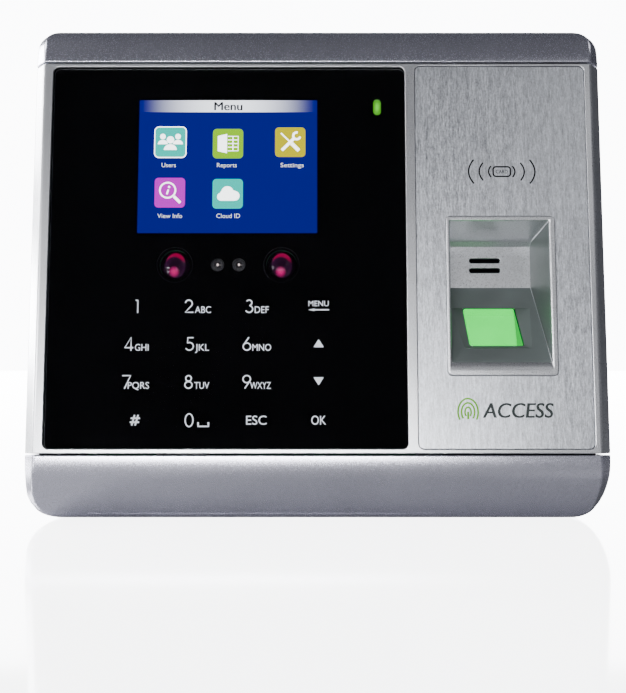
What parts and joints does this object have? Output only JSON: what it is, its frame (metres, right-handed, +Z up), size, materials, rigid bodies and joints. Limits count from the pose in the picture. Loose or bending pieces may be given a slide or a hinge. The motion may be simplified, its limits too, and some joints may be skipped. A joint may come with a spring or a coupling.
{
  "type": "fingerprint scanner terminal",
  "caption": "Wall-mounted access terminal with a leaning front, colour display, touch keypad and a recessed optical finger sensor beside it.",
  "frame": {"origin": "centre of the wall plate's back face, which lies on the wall", "axes": "+X to the right seen from the front, +Y into the wall, +Z up; the user stands at -Y"},
  "size_m": [0.1842, 0.039, 0.1613],
  "materials": {
    "silver_paint": "metallic silver lacquer, satin",
    "cap_paint": "metallic silver lacquer, satin",
    "black_glass": "polished, printed black behind",
    "brushed_metal": "brushed up and down",
    "finger_window": "lit green from behind",
    "screen": "lit liquid crystal display",
    "lime_light": "lit light guide",
    "infrared_lens": "moulded lens",
    "black_plastic": "fine moulded texture",
    "clear_plastic": "moulded",
    "circuit_board": "solder mask",
    "steel": "zinc plated",
    "amber_film": "polyimide film"
  },
  "bodies": {
    "wall_plate": {"wall_plate": "steel"},
    "terminal": {"bottom_cap": "cap_paint", "brushed_plate": "brushed_metal", "buzzer": "black_plastic", "card_antenna": "circuit_board", "coin_cell": "steel", "coin_cell_holder": "black_plastic", "display_backlight": "steel", "display_cable": "amber_film", "display_cell": "screen", "door_relay": "black_plastic", "finger_well": "silver_paint", "front_board": "circuit_board", "front_housing": "silver_paint", "glass_panel": "black_glass", "housing_screw_left_bottom": "steel", "housing_screw_left_top": "steel", "housing_screw_right_bottom": "steel", "housing_screw_right_top": "steel", "infrared_emitter_left": "infrared_lens", "infrared_emitter_right": "infrared_lens", "infrared_holder": "black_plastic", "infrared_receiver_left": "clear_plastic", "infrared_receiver_right": "clear_plastic", "key_light_guide": "clear_plastic", "main_board": "circuit_board", "memory_chip": "black_plastic", "network_jack": "steel", "power_jack": "black_plastic", "processor": "black_plastic", "rear_housing": "black_plastic", "reset_switch": "black_plastic", "sensor_bezel": "silver_paint", "sensor_board": "circuit_board", "sensor_body": "black_plastic", "sensor_lamp_lower": "lime_light", "sensor_lamp_upper": "lime_light", "sensor_lens": "clear_plastic", "sensor_window": "finger_window", "speaker_basket": "black_plastic", "speaker_cone": "clear_plastic", "speaker_magnet": "steel", "status_led": "lime_light", "status_light_pipe": "lime_light", "tamper_switch": "steel", "top_cap": "cap_paint", "touch_board": "circuit_board", "usb_port": "steel", "wiring_header_left": "clear_plastic", "wiring_header_right": "clear_plastic"},
    "lock_screw": {"lock_screw": "steel"},
    "tamper_plunger": {"tamper_plunger": "black_plastic"},
    "reset_button": {"reset_button": "black_plastic"}
  },
  "joints": [
    {"name": "terminal_lift", "type": "slide", "parent": "wall_plate", "child": "terminal", "axis": [0, 0, 1], "range_m": [0, 0.008]},
    {"name": "lock_screw_travel", "type": "slide", "parent": "wall_plate", "child": "lock_screw", "axis": [0, 0, -1], "range_m": [0, 0.012]},
    {"name": "tamper_press", "type": "slide", "parent": "terminal", "child": "tamper_plunger", "axis": [0, -1, 0], "range_m": [0, 0.0012], "stiffness_N_per_m": 200},
    {"name": "reset_press", "type": "slide", "parent": "terminal", "child": "reset_button", "axis": [0, 0, 1], "range_m": [0, 0.0004], "stiffness_N_per_m": 1500}
  ]
}
